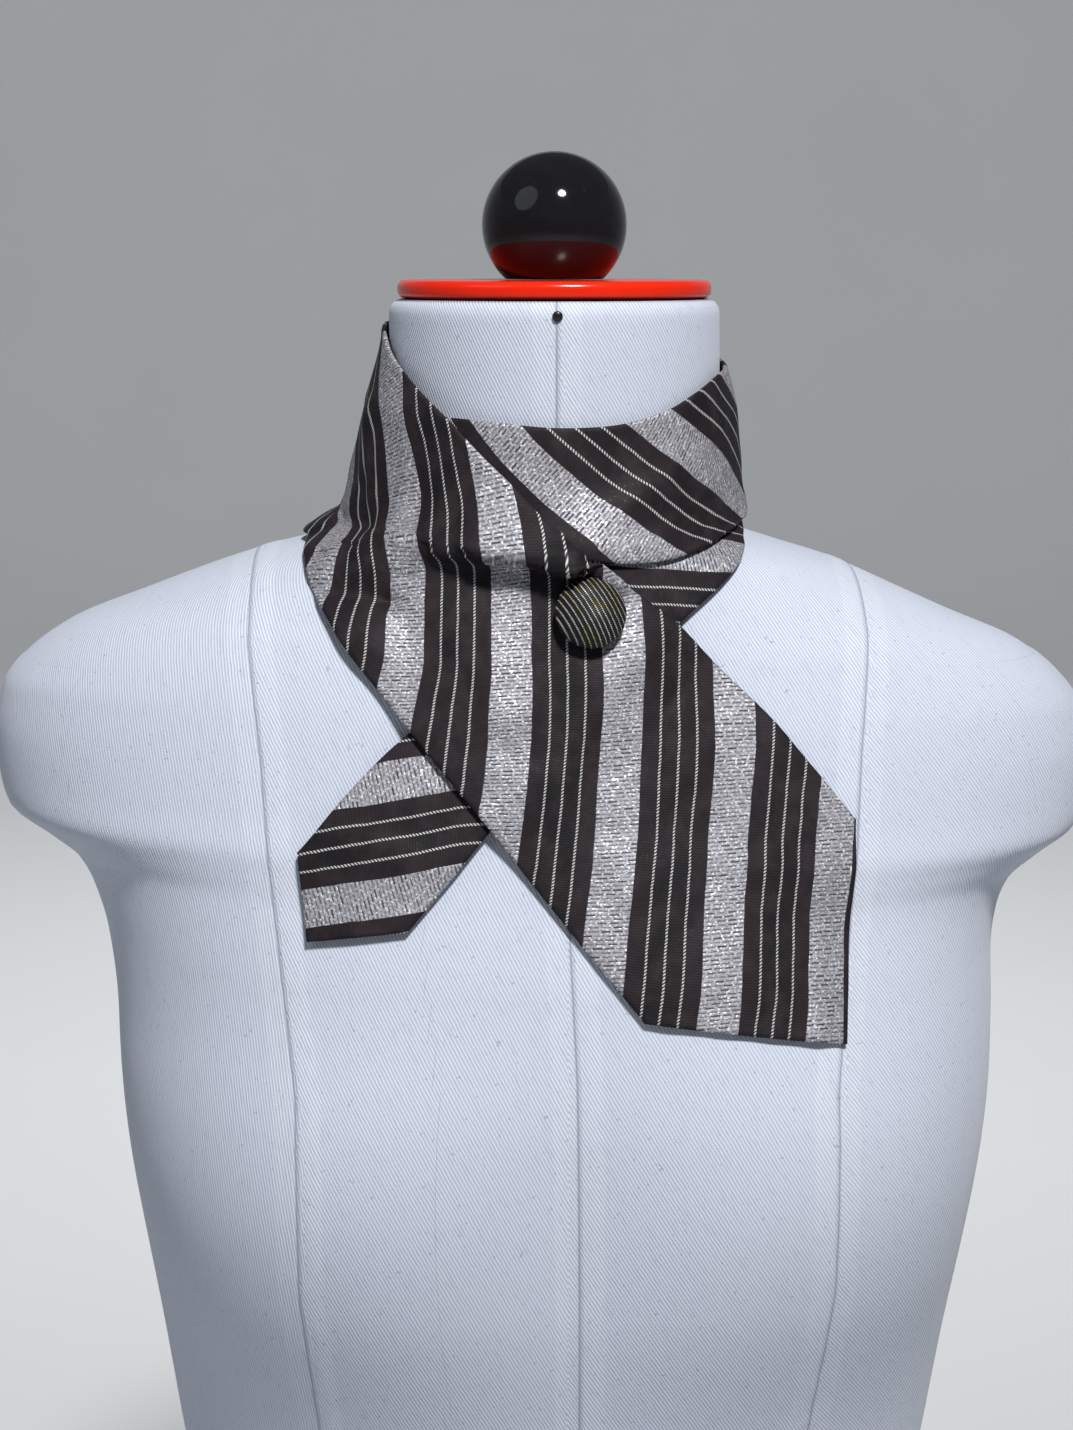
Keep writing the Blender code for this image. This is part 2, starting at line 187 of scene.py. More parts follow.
# drop below the neck plate, half width, front depth, back depth, squareness of the section
FORM_ROWS = np.array((
    (0.0, 52.0, 53.0, 53.0, 2.0),
    (1.2, 54.6, 55.4, 55.4, 2.0),
    (4.0, 55.8, 57.0, 57.0, 2.0),
    (50.0, 56.2, 57.5, 58.0, 2.0),
    (64.0, 57.0, 58.6, 60.0, 2.0),
    (70.0, 58.5, 60.0, 62.0, 2.0),
    (74.0, 60.5, 61.0, 64.0, 2.0),
    (77.0, 65.0, 61.6, 65.0, 2.0),
    (80.0, 76.0, 62.2, 66.2, 2.0),
    (85.0, 96.0, 63.5, 68.5, 2.0),
    (102.5, 140.0, 70.0, 74.5, 2.0),
    (112.0, 163.0, 73.8, 78.5, 2.0),
    (123.5, 178.0, 78.2, 82.5, 2.0),
    (134.0, 185.5, 82.3, 85.0, 2.0),
    (150.0, 188.5, 88.0, 88.5, 2.0),
    (164.0, 187.5, 93.0, 91.0, 2.0),
    (174.0, 184.5, 96.5, 93.0, 2.05),
    (182.0, 173.0, 99.0, 94.5, 2.1),
    (190.0, 162.0, 101.5, 96.0, 2.15),
    (200.0, 156.0, 104.5, 97.5, 2.2),
    (215.0, 152.0, 108.0, 98.5, 2.25),
    (261.0, 148.5, 113.0, 97.0, 2.3),
    (315.0, 141.5, 112.0, 90.0, 2.3),
    (387.0, 133.0, 100.0, 80.0, 2.25),
    (430.0, 126.0, 93.0, 76.5, 2.2),
    (468.0, 123.0, 91.0, 77.0, 2.2),
    (520.0, 131.0, 94.0, 85.0, 2.2),
    (580.0, 148.0, 99.0, 97.0, 2.2),
    (628.0, 157.0, 101.0, 102.0, 2.2),
    (640.0, 154.0, 98.0, 99.0, 2.2),
))
SHOULDER_TILT, SHOULDER_SHIFT = 4.5, 3.0
FORM_COLUMNS, RING_STEP = 300, 2.3
# drop, and how far the princess seams lie from the middle there
PRINCESS_ROWS = np.array((
    (80.0, 101.0), (108.0, 100.8), (144.0, 96.3), (175.0, 93.8), (205.0, 90.0), (245.0, 85.0),
    (310.0, 84.5), (362.0, 79.5), (450.0, 70.0), (540.0, 78.0), (640.0, 90.0),
))
# drop, and how far the centre front seam lies from the middle there
CENTRE_ROWS = np.array(((0.0, -1.4), (60.0, -1.4), (200.0, 1.1), (240.0, 2.9), (360.0, 4.2), (640.0, 4.2)))
PRINCESS_TOP, SIDE_TOP, SIDE_SEAM_BACK, NO_SEAM = 70, 120, 4.0, 99.0
LEAST_TURN = 0.04       # keeps a seam's width finite where the form faces straight along its axis
ALLOWANCE_WIDTH, ALLOWANCE_RISE, ALLOWANCE_SOFT = 8.0, 0.35, 3
TWILL_RIB, TWILL_PICK = 1.05, 0.6
# slant of the twill on each panel from the left side to the right, in degrees
PANEL_SLANTS = (80.0, 62.0, 58.0, 50.0)


def spline(knots, values, at, monotone=False):
    """Cubic through the values at the knots. A monotone one never bulges past its rows."""
    knots, values = np.asarray(knots, float), np.asarray(values, float)
    widths = np.diff(knots)[:, None]
    rises = np.diff(values, axis=0) / widths
    slopes = np.empty_like(values)
    slopes[0], slopes[-1] = rises[0], rises[-1]
    before, after = rises[:-1], rises[1:]
    if monotone:
        same = before * after > 0
        slopes[1:-1] = np.where(same, 2 * before * after / np.where(same, before + after, 1), 0)
    else:
        slopes[1:-1] = (before * widths[1:] + after * widths[:-1]) / (widths[1:] + widths[:-1])
    at = np.clip(at, knots[0], knots[-1])
    cell = np.clip(np.searchsorted(knots, at) - 1, 0, len(knots) - 2)
    width = widths[cell]
    t = ((at - knots[cell]) / width[..., 0])[..., None]
    start = (1 + 2 * t) * (1 - t) ** 2 * values[cell] + t * (1 - t) ** 2 * width * slopes[cell]
    end = t * t * (3 - 2 * t) * values[cell + 1] + t * t * (t - 1) * width * slopes[cell + 1]
    return start + end


def smoothstep(low, high, value):
    share = np.clip((value - low) / (high - low), 0, 1)
    return share * share * (3 - 2 * share)


def polar(azimuth, drop, radius):
    return np.stack((radius * np.sin(azimuth), -radius * np.cos(azimuth), PLATE_HEIGHT - drop), axis=-1)


def form_radius(azimuth, drop):
    """Radius of the dress form: a rounded section for each drop, and the bust."""
    sideways = np.sin(azimuth)
    tilt = SHOULDER_TILT * smoothstep(68, 100, drop) * (1 - smoothstep(200, 300, drop))
    raised = drop - tilt * sideways
    columns = spline(FORM_ROWS[:, 0], FORM_ROWS[:, 1:], raised, monotone=True)
    half_width, front, back, square = np.moveaxis(columns, -1, 0)
    depth = np.where(np.cos(azimuth) > 0, front, back)
    side = np.abs(np.sin(azimuth) / half_width) ** square
    face = np.abs(np.cos(azimuth) / depth) ** square
    turned = (np.abs((azimuth + math.pi) % math.tau - math.pi) - BUST_AZIMUTH) / BUST_SPREAD_ROUND
    bust = BUST_HEIGHT * np.exp(-(turned**2 + ((drop - BUST_DROP) / BUST_SPREAD_DOWN) ** 2) / 2)
    shift = SHOULDER_SHIFT * smoothstep(90, 125, drop) * (1 - smoothstep(190, 240, drop))
    return (side + face) ** (-1 / square) + bust - shift * sideways


def grid_normals(points, closed_round=False):
    """Unit normals of a grid of points, to the outside of the form."""
    if closed_round:
        points = np.concatenate((points[:, -1:], points, points[:, :1]), axis=1)
    normals = np.cross(np.gradient(points, axis=0), np.gradient(points, axis=1))
    if closed_round:
        normals, points = normals[:, 1:-1], points[:, 1:-1]
    normals /= np.maximum(np.linalg.norm(normals, axis=-1, keepdims=True), 1e-9)
    outward = (normals[..., :2] * points[..., :2]).sum()
    return normals if outward > 0 else -normals


def add_mesh(name, points, faces):
    mesh = bpy.data.meshes.new(name)
    mesh.from_pydata((np.asarray(points).reshape(-1, 3) * MM).tolist(), [], faces)
    mesh.shade_smooth()
    piece = bpy.data.objects.new(name, mesh)
    bpy.context.scene.collection.objects.link(piece)
    return piece


def face_outwards(piece):
    maker = bmesh.new()
    maker.from_mesh(piece.data)
    bmesh.ops.remove_doubles(maker, verts=maker.verts, dist=0.002 * MM)
    bmesh.ops.recalc_face_normals(maker, faces=maker.faces)
    maker.to_mesh(piece.data)
    maker.free()


def grid_faces(rows, columns, closed_round=False):
    return [
        (row * columns + column, (row + 1) * columns + column,
         (row + 1) * columns + (column + 1) % columns, row * columns + (column + 1) % columns)
        for row in range(rows - 1)
        for column in range(columns if closed_round else columns - 1)
    ]


def even_drops():
    """Drops of the rings, evenly spaced along the form's side and front outlines."""
    drops = np.linspace(0, FORM_ROWS[-1, 0], 4000)
    side, front = (form_radius(np.full_like(drops, a), drops) for a in (math.pi / 2, 0.0))
    steps = np.maximum(np.hypot(np.diff(side), np.diff(drops)), np.hypot(np.diff(front), np.diff(drops)))
    lengths = np.concatenate(((0,), np.cumsum(steps)))
    return np.interp(np.linspace(0, lengths[-1], round(lengths[-1] / RING_STEP) + 1), lengths, drops)


def seam_distance(points, normals, drop):
    """Signed distance to the nearest seam, positive over its pressed allowance."""
    x, y = points[..., 0], points[..., 1]
    along_x, along_y = (np.sqrt(np.maximum(1 - normals[..., axis] ** 2, LEAST_TURN)) for axis in (0, 1))
    princess = np.interp(drop, PRINCESS_ROWS[:, 0], PRINCESS_ROWS[:, 1])
    centre = np.where(y < 0, np.interp(drop, CENTRE_ROWS[:, 0], CENTRE_ROWS[:, 1]), 0.0)
    stacked = np.stack((
        (x - centre) / along_x,
        np.where(drop > PRINCESS_TOP, (princess - np.abs(x)) / along_x, NO_SEAM),
        np.where(drop > SIDE_TOP, (SIDE_SEAM_BACK - y) / along_y, NO_SEAM),
    ))
    nearest = np.argmin(np.abs(stacked), axis=0)
    return np.take_along_axis(stacked, nearest[None], axis=0)[0]


def add_form_cover():
    azimuth = np.linspace(0, math.tau, FORM_COLUMNS, endpoint=False)
    drop, azimuth = np.meshgrid(even_drops(), azimuth, indexing="ij")
    points = polar(azimuth, drop, form_radius(azimuth, drop))
    normals = grid_normals(points, True)
    seam = seam_distance(points, normals, drop)
    outer_edge = smoothstep(ALLOWANCE_WIDTH - ALLOWANCE_SOFT, ALLOWANCE_WIDTH, seam)
    ridge = ALLOWANCE_RISE * smoothstep(-0.4, 0.5, seam) * (1 - outer_edge)
    fade = smoothstep(2, 8, drop) * (1 - smoothstep(620, 632, drop))
    points = points + normals * (ridge * fade)[..., None]
    points[-1, :, 2] = BOARD_THICK + GAP
    rows, columns = drop.shape
    faces = grid_faces(rows, columns, True)
    faces += [tuple(range(columns - 1, -1, -1)), tuple(range((rows - 1) * columns, rows * columns))]
    cover = add_mesh("form_cover", points, faces)
    groove = cover.data.attributes.new("seam", "FLOAT", "POINT")
    groove.data.foreach_set("value", (seam * MM).reshape(-1))
    round_step = np.linalg.norm(np.roll(points, -1, axis=1) - points, axis=-1)
    round_it = np.cumsum(round_step, axis=1) - round_step
    last = round_it[:, -1:]
    round_it = np.where(round_it > last / 2, round_it - last - round_step[:, -1:], round_it)
    princess = np.interp(drop, PRINCESS_ROWS[:, 0], PRINCESS_ROWS[:, 1])
    panel = np.digitize(points[..., 0] / princess, (-1, 0, 1))
    slant = np.radians(np.array(PANEL_SLANTS))[panel]
    uv = cover.data.uv_layers.new(name="cover")
    places = np.stack((round_it.reshape(-1), drop.reshape(-1)), axis=-1)
    slants = slant.reshape(-1)
    loop_places = []
    for face in cover.data.polygons:
        corners = places[list(face.vertices)].copy()
        if len(face.vertices) == 4 and np.ptp(corners[:, 0]) > 100:
            wrapped = corners[:, 0] - 2 * np.abs(corners[:, 0]).max()
            corners[:, 0] = np.where(corners[:, 0] < 0, corners[:, 0], wrapped)
        angle = slants[face.vertices[0]]
        across = corners[:, 0] * math.sin(angle) - corners[:, 1] * math.cos(angle)
        along = corners[:, 0] * math.cos(angle) + corners[:, 1] * math.sin(angle)
        loop_places.append(np.stack((across, along), axis=-1))
    uv.data.foreach_set("uv", (np.concatenate(loop_places) * MM).reshape(-1))
    return cover


def twill_finish():
    sheen = {"Specular IOR Level": 0.25, "Sheen Weight": 0.15, "Sheen Roughness": 0.6}
    twill = Finish("white cotton twill", sheen)
    place = twill.place()
    weave = twill.node("ShaderNodeUVMap", {"uv_map": "cover"}, {})
    across, along, _ = twill.split(weave)
    wander = twill.noise(twill.scaled(weave, (300.0, 300.0, 0.0)), 1.0, 2.0)
    ribs = ((across * (math.tau / (TWILL_RIB * MM)) + wander * 2.6).sine() * 0.5 + 0.5)
    picks = (along * (math.tau / (TWILL_PICK * MM)) + ribs * 2.0).sine() * 0.5 + 0.5
    slubs = twill.noise(twill.scaled(weave, (900.0, 130.0, 0.0)), 1.0, 3.0, 0.6)
    cloudy = twill.noise(place, 9.0, 3.0, 0.5)
    specks = twill.noise(place, 620.0, 1.0, 0.4).ramp(0.71, 0.78)
    groove = twill.attribute("seam") / MM
    line = (groove + 0.15).within(0.3, 0.5)
    groove_dip_and_shade = (groove + 0.15).within(0.8, 1.4)
    colour = twill.mix(cloudy, (0.605, 0.65, 0.755), (0.665, 0.705, 0.80))
    # Painted highlight: the pressed allowances beside each seam are painted a lighter tone.
    pressed = groove.size().within(ALLOWANCE_WIDTH, 1.5) * (1 - groove.size().within(1.0, 0.8))
    colour = twill.mix(pressed * 0.4, colour, (0.76, 0.79, 0.86))
    colour = twill.mix((1 - ribs) * 0.75 + slubs.ramp(0.5, 0.75) * 0.2, colour, (0.34, 0.39, 0.52))
    colour = twill.mix(specks * 0.45, colour, (0.22, 0.23, 0.27))
    # Painted shade: the seam grooves get a thin dark line and a faint darkening across them.
    colour = twill.mix(line * 0.6 + groove_dip_and_shade * 0.1, colour, (0.2, 0.22, 0.29))
    height = ribs * 0.8 + picks * 0.25 + slubs * 0.5 - groove_dip_and_shade * 2.6
    return twill.feed(
        Base_Color=colour, Roughness=0.78 + slubs * 0.15, Normal=twill.bump(height, 0.12 * MM, 0.8)
    )


form_cover = add_form_cover()
give_finish(form_cover, twill_finish())
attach(form_cover, "root")
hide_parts("form_torso")


# Neck plate
# A turned wooden disc with a rounded edge, sprayed in bright orange red gloss. It caps the neck
# and is held down by the screw of the ball.
PLATE_RADIUS, PLATE_THICK, PLATE_EDGE = 53.0, 6.0, 2.4


def turned(name, profile, sides):
    """A solid turned round Z from radius and height pairs that start and end on the axis."""
    angles = np.linspace(0, math.tau, sides, endpoint=False)
    middle = np.array(profile[1:-1])
    rings = np.stack((
        middle[:, :1] * np.cos(angles), middle[:, :1] * np.sin(angles),
        np.repeat(middle[:, 1:], sides, axis=1),
    ), axis=-1)
    points = np.concatenate(([(0, 0, profile[0][1])], rings.reshape(-1, 3), [(0, 0, profile[-1][1])]))
    faces = [tuple(1 + corner for corner in face) for face in grid_faces(len(middle), sides, True)]
    last = len(points) - 1
    for side in range(sides):
        faces.append((0, 1 + (side + 1) % sides, 1 + side))
        faces.append((last, last - sides + side, last - sides + (side + 1) % sides))
    piece = add_mesh(name, points, faces)
    face_outwards(piece)
    return piece


def arc(centre_radius, centre_height, radius, start, end, steps):
    """Radius and height pairs along an arc. Angles are in degrees up from the outward side."""
    angles = np.radians(np.linspace(start, end, steps + 1))
    return [(centre_radius + radius * math.cos(a), centre_height + radius * math.sin(a)) for a in angles]


def lacquer_finish(name, colour, deep, roughness):
    """Sprayed gloss with faint ripple, dust and rubbed places."""
    lacquer = Finish(name, {"Specular IOR Level": 0.35, "Coat Roughness": 0.03})
    place = lacquer.place()
    ripple = lacquer.noise(place, 130.0, 2.0, 0.5)
    dust = lacquer.noise(place, 1500.0, 2.0, 0.6).ramp(0.7, 0.8)
    rubbed = lacquer.noise(place, 22.0, 4.0, 0.6).ramp(0.5, 0.72)
    shade = lacquer.mix(ripple * 0.6, colour, deep)
    return lacquer.feed(
        Base_Color=lacquer.mix(dust * 0.12, shade, (0.5, 0.5, 0.5)),
        Roughness=roughness + rubbed * 0.1 + dust * 0.2,
        Normal=lacquer.bump(ripple, 0.04 * MM, 0.25),
    )


plate_low = PLATE_HEIGHT + GAP
plate_inner = PLATE_RADIUS - PLATE_EDGE
plate_profile = [(0, plate_low), (plate_inner * 0.5, plate_low)]
plate_profile += arc(plate_inner, plate_low + PLATE_EDGE, PLATE_EDGE, -90, 0, 10)
plate_profile += arc(plate_inner, plate_low + PLATE_THICK - PLATE_EDGE, PLATE_EDGE, 0, 90, 10)
plate_profile += [(plate_inner * 0.5, plate_low + PLATE_THICK), (0, plate_low + PLATE_THICK)]
plate_gloss = turned("neck_plate_gloss", plate_profile, 160)
give_finish(plate_gloss, lacquer_finish("red lacquer", (0.80, 0.022, 0.004), (0.70, 0.016, 0.004), 0.2))
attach(plate_gloss, "root")
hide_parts("neck_plate")


# Ball finial
# A turned wooden ball in deep black gloss that mirrors the plate below it. A screw through its
# flat foot holds it, and the plate, to the neck.
BALL_RADIUS, BALL_FOOT_RADIUS = 24.4, 16.5
ball_low = plate_low + PLATE_THICK + GAP
ball_rise = math.sqrt(BALL_RADIUS**2 - BALL_FOOT_RADIUS**2)
foot_angle = -math.degrees(math.atan2(ball_rise, BALL_FOOT_RADIUS))
ball_profile = [(0, ball_low), (BALL_FOOT_RADIUS * 0.6, ball_low)]
ball_profile += arc(0, ball_low + ball_rise, BALL_RADIUS, foot_angle, 88.5, 64)
ball_profile += [(0, ball_low + ball_rise + BALL_RADIUS)]
ball_gloss = turned("ball_gloss", ball_profile, 128)
give_finish(ball_gloss, lacquer_finish("black lacquer", (0.006, 0.006, 0.008), (0.012, 0.012, 0.014), 0.07))
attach(ball_gloss, "root")
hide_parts("ball_finial")


# Front pin
# A round-headed steel pin with a black glass head, pushed through the cover at the top of the
# centre seam as a marker.
PIN_RADIUS, PIN_PROUD = 1.7, 1.2
PIN_AZIMUTH, PIN_DROP = math.radians(-1.3), 4.6
pin_radius = form_radius(np.array(PIN_AZIMUTH), np.array(PIN_DROP)) + GAP
pin_back = Vector(polar(np.array(PIN_AZIMUTH), np.array(PIN_DROP), pin_radius)) * MM
pin_turn = Matrix.Rotation(PIN_AZIMUTH, 4, "Z") @ Matrix.Rotation(math.pi / 2, 4, "X")
pin_profile = [(0, 0), (PIN_RADIUS * 0.9, 0), (PIN_RADIUS, PIN_PROUD * 0.2)]
pin_profile += [
    (PIN_RADIUS * math.cos(a), PIN_PROUD * (0.3 + 0.7 * math.sin(a)))
    for a in np.radians(range(0, 85, 12))
]
pin_profile += [(0, PIN_PROUD)]
pin_head = turned("pin_head", pin_profile, 32)
pin_head.data.transform(Matrix.Translation(pin_back) @ pin_turn)
give_finish(pin_head, lacquer_finish("black glass head", (0.01, 0.01, 0.01), (0.02, 0.02, 0.02), 0.25))
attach(pin_head, "root")
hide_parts("front_pin")


# Tie, all four stretches
# One silk necktie, cut on the bias, folded round an interlining and slip-stitched at the back, so
# its long edges are soft rolls. It goes twice round the neck and is cut apart here where a stretch
# goes under the next. Woven stripes of lurex, satin and silver cord lie at 45 degrees to its edges.
WALL = 1.8
REST_GAP = 0.55
LAYER_GAP = 0.9
COVER_NEAR, COVER_FAR = 1.5, 11.0
SEAM_MARGIN = 26.0
COLLAR_TOP, COLLAR_LEAN, COLLAR_BLEND = 14.0, 0.075, 12.0
LEAN_SWAY, BLEND_SWAY = 0.07, 4.0
SHOULDER_DROP, UNROLL_RADIUS, POINT = 78.0, 75.0, 0.93
SECTION_SAMPLES = 41
FOLD_SAGS, FOLD_SAG = 3.0, 0.85
CLOTH_STEP = 1.25
EDGE_STEPS = (0.0, 0.12, 0.4, 0.85, 1.5, 2.3)
CUT_STEPS = (0.0, 0.1, 0.25, 0.6)
SMALL_TURN, SMALL_DROP = 0.01, 0.6
FOLDED_ROUND, CUT_ROUND = 1.5, 0.25
STRIPE_REPEAT, DARK_WIDTH, CORD_STEP = 36.6, 23.4, 5.85
DASH_ROW, DASH_LENGTH, SATIN_RIB, CORD_TWIST = 1.3, 3.6, 0.83, 1.05


def rest_point(azimuth, drop):
    """The soft surface that the cloth rests on: the form, or a leaning collar round its neck."""
    form = form_radius(azimuth, drop)
    lean = COLLAR_LEAN - LEAN_SWAY * np.sin(azimuth)
    collar = NECK_RADIUS + lean * np.maximum(drop - COLLAR_TOP, 0)
    blend = COLLAR_BLEND - BLEND_SWAY * np.sin(azimuth)
    blend = blend * np.clip(drop / SHOULDER_DROP, 0.2, 1) ** 3
    return polar(azimuth, drop, (form + collar + np.sqrt((form - collar) ** 2 + blend**2)) / 2)


def down_slope(azimuth, drop):
    down_it = rest_point(azimuth, drop + SMALL_DROP) - rest_point(azimuth, drop - SMALL_DROP)
    return down_it / np.linalg.norm(down_it, axis=-1, keepdims=True)


def rest_normal(azimuth, drop):
    round_it = rest_point(azimuth + SMALL_TURN, drop) - rest_point(azimuth - SMALL_TURN, drop)
    down_it = rest_point(azimuth, drop + SMALL_DROP) - rest_point(azimuth, drop - SMALL_DROP)
    normal = np.cross(down_it, round_it)
    return normal / np.linalg.norm(normal, axis=-1, keepdims=True)


def fold_lift(azimuth, drop, folds):
    """How far soft ridges lift the cloth, or troughs lower it. A fold's row holds azimuth and drop
    of its two ends, its height, and its reach above and below that line."""
    lift = np.zeros_like(azimuth)
    across, down = azimuth * UNROLL_RADIUS, drop
    for start_turn, start_drop, end_turn, end_drop, height, above, below in folds:
        start = np.array((math.radians(start_turn) * UNROLL_RADIUS, start_drop))
        run = np.array((math.radians(end_turn) * UNROLL_RADIUS, end_drop)) - start
        share = np.clip(((across - start[0]) * run[0] + (down - start[1]) * run[1]) / (run @ run), 0, 1)
        off_across = across - start[0] - share * run[0]
        off_down = down - start[1] - share * run[1]
        side = off_down * run[0] - off_across * run[1]
        reach = np.where(side * np.sign(run[0] + 1e-9) < 0, above, below)
        bump = height * np.exp(-(off_across**2 + off_down**2) / reach**2)
        lift = np.maximum(lift, bump) if height > FOLD_SAGS else lift + bump
    return lift


def place_across(edges, share):
    """Azimuth and drop at a share of the real width of each section, from its top edge."""
    steps = np.linspace(0, 1, SECTION_SAMPLES)
    azimuth = edges[..., 0, None] + (edges[..., 2] - edges[..., 0])[..., None] * steps
    drop = edges[..., 1, None] + (edges[..., 3] - edges[..., 1])[..., None] * steps
    spans = np.linalg.norm(np.diff(rest_point(azimuth, drop), axis=-2), axis=-1)
    lengths = np.concatenate((np.zeros(spans.shape[:-1] + (1,)), np.cumsum(spans, axis=-1)), axis=-1)
    found = np.empty(share.shape)
    for index in np.ndindex(share.shape):
        found[index] = np.interp(share[index] * lengths[index][-1], lengths[index], steps)
    top, bottom = edges[..., :2], edges[..., 2:]
    placed = top + (bottom - top) * found[..., None]
    return placed[..., 0], placed[..., 1], lengths[..., -1]


def edged_steps(length, first_edged, last_edged):
    """Even steps over a length, with finer ones beside each edge that is rolled."""
    start = np.array(EDGE_STEPS if first_edged else CUT_STEPS)
    end = length - np.array(EDGE_STEPS if last_edged else CUT_STEPS)[::-1]
    middle = np.linspace(start[-1], end[0], max(2, round((end[0] - start[-1]) / CLOTH_STEP) + 1))
    return np.concatenate((start[:-1], middle, end[1:]))


def soften(field, reach_rows, reach_columns):
    """Gaussian blur over a grid, with its border repeated."""
    for axis, reach in ((0, reach_rows), (1, reach_columns)):
        half = int(3 * reach) + 1
        weights = np.exp(-0.5 * (np.arange(-half, half + 1) / reach) ** 2)
        weights /= weights.sum()
        pads = [(0, 0), (0, 0)]
        pads[axis] = (half, half)
        padded = np.pad(field, pads, mode="edge")
        windows = np.lib.stride_tricks.sliding_window_view(padded, 2 * half + 1, axis=axis)
        field = windows @ weights
    return field


def waves(along, across, seed, strengths):
    """Smooth uneven swell over the cloth from a few sine waves of each length."""
    chance = np.random.default_rng(seed)
    swell = np.zeros_like(along)
    for length, strength in strengths:
        for _ in range(5):
            turn, start = chance.uniform(0, math.pi), chance.uniform(0, math.tau)
            run = (along * math.cos(turn) + across * math.sin(turn)) / length
            swell += strength / 5**0.5 * np.sin(math.tau * run + start)
    return swell


def stripe_drift(table, over, down):
    """How far a worn tie's weave is pulled off its straight lines, from a table whose first row
    holds places across the stripes, and whose other rows start with a place along them. The
    tables were thinned from a least-squares fit to stripes read off the photo."""
    columns, rows = np.array(table[0], float), np.array([row[0] for row in table[1:]], float)
    pulled = np.stack([np.interp(over, columns, row[1:]) for row in table[1:]])
    place = np.clip(np.interp(down, rows, np.arange(len(rows))), 0, len(rows) - 1.001)
    low = place.astype(int)
    first, second = (np.take_along_axis(pulled, (low + step)[None], axis=0)[0] for step in (0, 1))
    return soften(first + (second - first) * (place - low), 2.5, 2.5)


